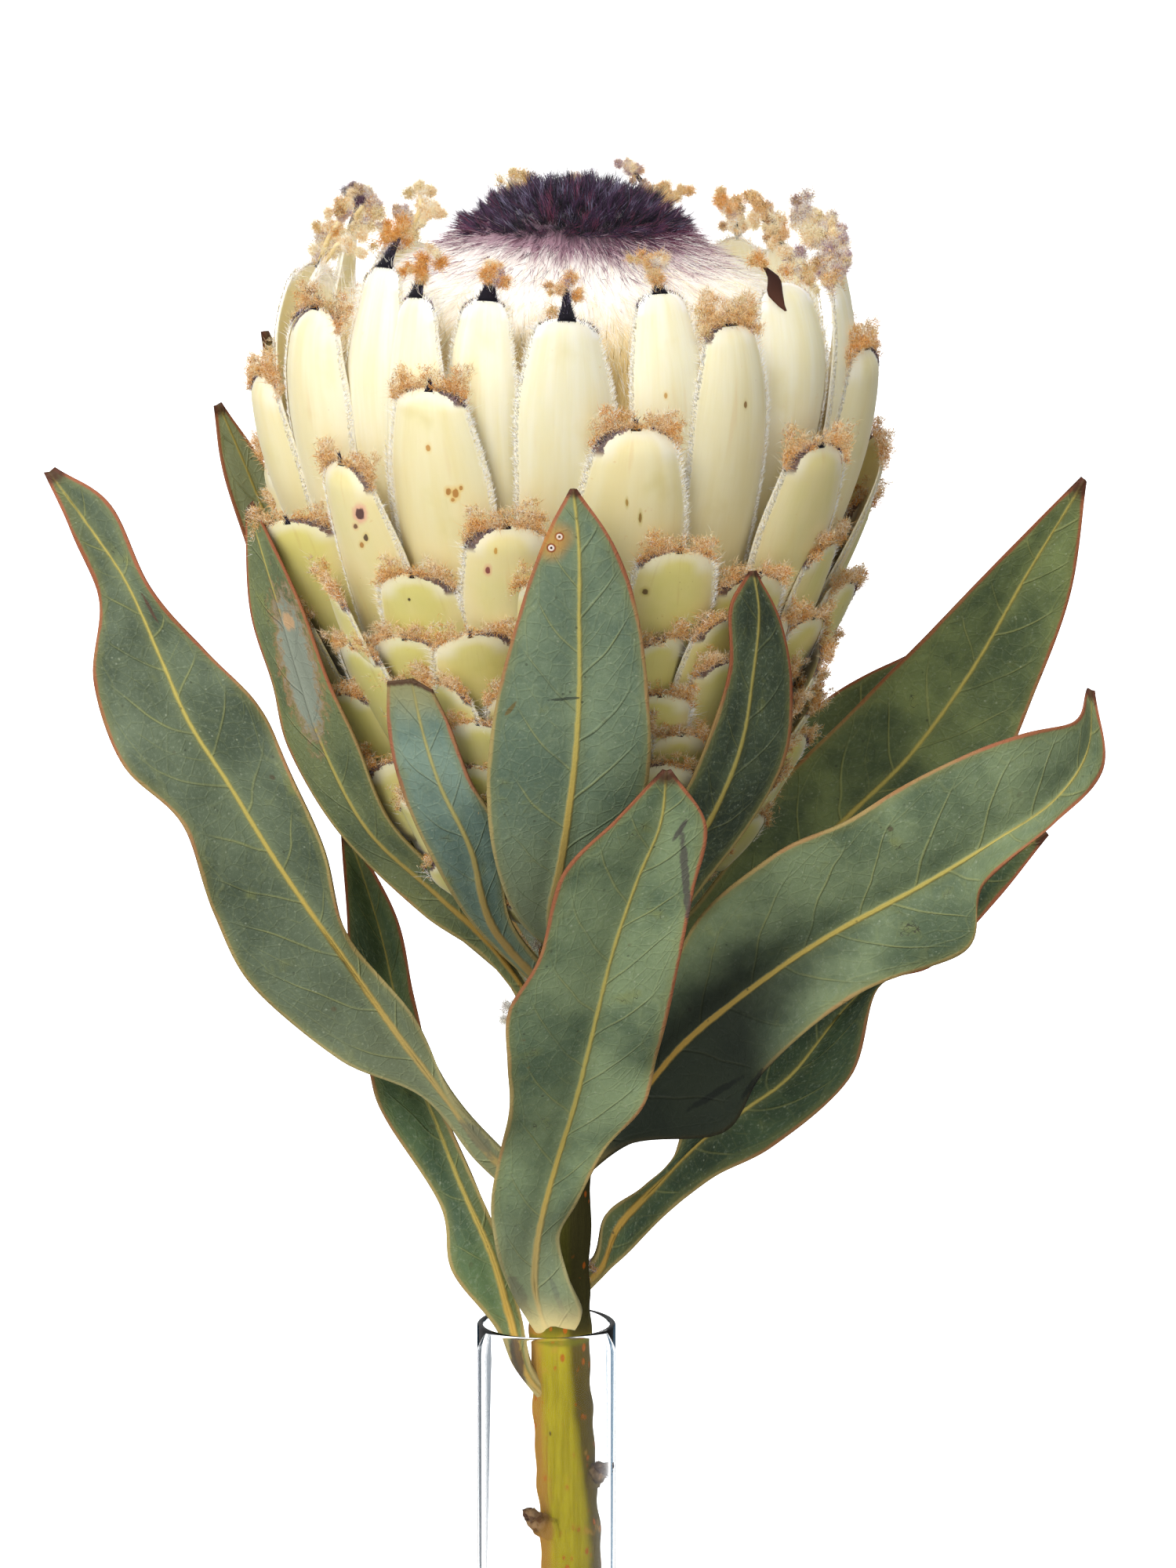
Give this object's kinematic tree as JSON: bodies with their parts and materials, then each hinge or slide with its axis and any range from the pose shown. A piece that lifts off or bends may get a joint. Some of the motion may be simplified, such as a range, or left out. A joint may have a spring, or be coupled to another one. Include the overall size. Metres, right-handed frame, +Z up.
{
  "type": "protea flower in a glass tube vase",
  "caption": "Cut protea flower with cream woolly-bearded bracts, a dark floret dome and grey-green leaves, standing in a slim clear glass tube vase with a round foot.",
  "frame": {"origin": "middle of the vase's flat underside", "axes": "+Z up along the vase, -Y towards the front of the flower, +X to the viewer's right"},
  "size_m": [0.1873, 0.133, 0.3382],
  "materials": {
    "glass": "clear polished glass",
    "stem": "smooth green bark with brown lenticels",
    "leaf": "matt leathery grey-green leaf with a red-orange margin",
    "bract": "silky cream bract with a white hair fringe and a tan beard",
    "scale": "silky yellow-green scale with a tan beard",
    "floret_wool": "dark purple and white wool"
  },
  "bodies": {
    "root": {"vase": "glass", "stem": "stem", "leaf_left_large": "leaf", "leaf_left_low": "leaf", "leaf_left_hugging": "leaf", "leaf_left_small": "leaf", "leaf_front_centre": "leaf", "leaf_front_low": "leaf", "leaf_right_hugging": "leaf", "leaf_right_upper": "leaf", "leaf_right_front": "leaf", "leaf_right_low": "leaf", "leaf_back_left": "leaf", "leaf_back_tall": "leaf", "leaf_back_right": "leaf", "leaf_back_low": "leaf", "flower_base": "scale", "florets": "floret_wool", "bract_inner_1": "bract", "bract_inner_2": "bract", "bract_inner_3": "bract", "bract_inner_4": "bract", "bract_inner_5": "bract", "bract_inner_6": "bract", "bract_inner_7": "bract", "bract_inner_8": "bract", "bract_inner_9": "bract", "bract_inner_10": "bract", "bract_middle_1": "bract", "bract_middle_2": "bract", "bract_middle_3": "bract", "bract_middle_4": "bract", "bract_middle_5": "bract", "bract_middle_6": "bract", "bract_middle_7": "bract", "bract_middle_8": "bract", "bract_middle_9": "bract", "bract_middle_10": "bract", "bract_outer_1": "bract", "bract_outer_2": "bract", "bract_outer_3": "bract", "bract_outer_4": "bract", "bract_outer_5": "bract", "bract_outer_6": "bract", "bract_outer_7": "bract", "bract_outer_8": "bract", "bract_outer_9": "bract", "bract_low_1": "bract", "bract_low_2": "bract", "bract_low_3": "bract", "bract_low_4": "bract", "bract_low_5": "bract", "bract_low_6": "bract", "bract_low_7": "bract", "bract_low_8": "bract", "bract_low_9": "bract", "scale_ring_1": "scale", "scale_ring_2": "scale", "scale_ring_3": "scale", "scale_ring_4": "scale"}
  },
  "joints": []
}
